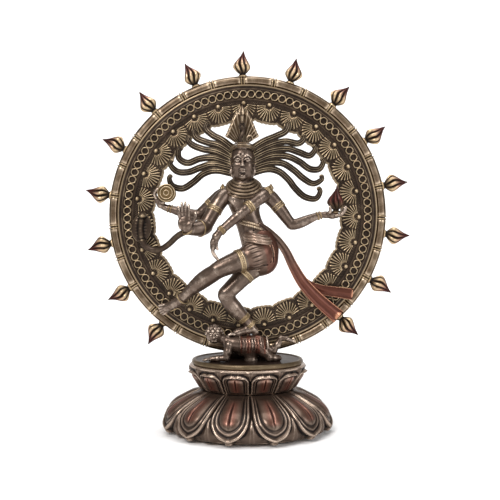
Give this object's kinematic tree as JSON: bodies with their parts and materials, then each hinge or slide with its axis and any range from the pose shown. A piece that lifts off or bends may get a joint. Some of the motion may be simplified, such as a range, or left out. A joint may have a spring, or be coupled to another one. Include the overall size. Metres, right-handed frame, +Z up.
{
  "type": "hindu deity statue",
  "caption": "Free-standing statue of a dancing deity inside a ring of flames, on a round lotus base with a felt underside; for display.",
  "frame": {"origin": "centre of the underside of the felt, where the statue stands", "axes": "+Z up, -Y towards the viewer that the figure faces, +X to that viewer's right"},
  "size_m": [0.2188, 0.11, 0.254],
  "materials": {
    "aged_bronze": "antiqued cold-cast bronze, dark in the recesses",
    "rubbed_gold": "rubbed gold highlights over dark bronze",
    "copper_red": "satin copper-red tint over bronze",
    "steel_fixing": "plain zinc-plated steel",
    "poured_filling": "raw cast",
    "black_felt": "matte felt"
  },
  "bodies": {
    "root": {"arm_bangles": "rubbed_gold", "arm_blessing": "aged_bronze", "arm_crossing": "aged_bronze", "arm_drum": "aged_bronze", "arm_flame": "aged_bronze", "base_filling": "poured_filling", "bead_chain": "rubbed_gold", "belt": "rubbed_gold", "cobra": "aged_bronze", "crown_cobra": "aged_bronze", "crown_fan": "rubbed_gold", "deck_plate": "aged_bronze", "drum": "rubbed_gold", "dwarf": "aged_bronze", "felt_pad": "black_felt", "flame_01": "copper_red", "flame_02": "copper_red", "flame_03": "copper_red", "flame_04": "copper_red", "flame_05": "copper_red", "flame_06": "copper_red", "flame_07": "copper_red", "flame_08": "copper_red", "flame_09": "copper_red", "flame_10": "copper_red", "flame_11": "copper_red", "flame_12": "copper_red", "flame_13": "copper_red", "flame_14": "copper_red", "flame_15": "copper_red", "hair_left": "aged_bronze", "hair_right": "aged_bronze", "hand_flame": "copper_red", "head": "aged_bronze", "headband": "rubbed_gold", "leg_bangles": "rubbed_gold", "leg_raised": "aged_bronze", "leg_rod": "steel_fixing", "leg_standing": "aged_bronze", "loincloth": "copper_red", "lower_lotus": "aged_bronze", "necklaces": "rubbed_gold", "rim_bands": "rubbed_gold", "ring_dowels": "steel_fixing", "ring_foot": "aged_bronze", "ring_plate": "aged_bronze", "ring_rim": "aged_bronze", "sash_main": "copper_red", "sash_tail": "copper_red", "sash_waist": "aged_bronze", "shell_fans": "rubbed_gold", "tie_bolt": "steel_fixing", "torso": "aged_bronze", "upper_lotus": "aged_bronze"}
  },
  "joints": []
}
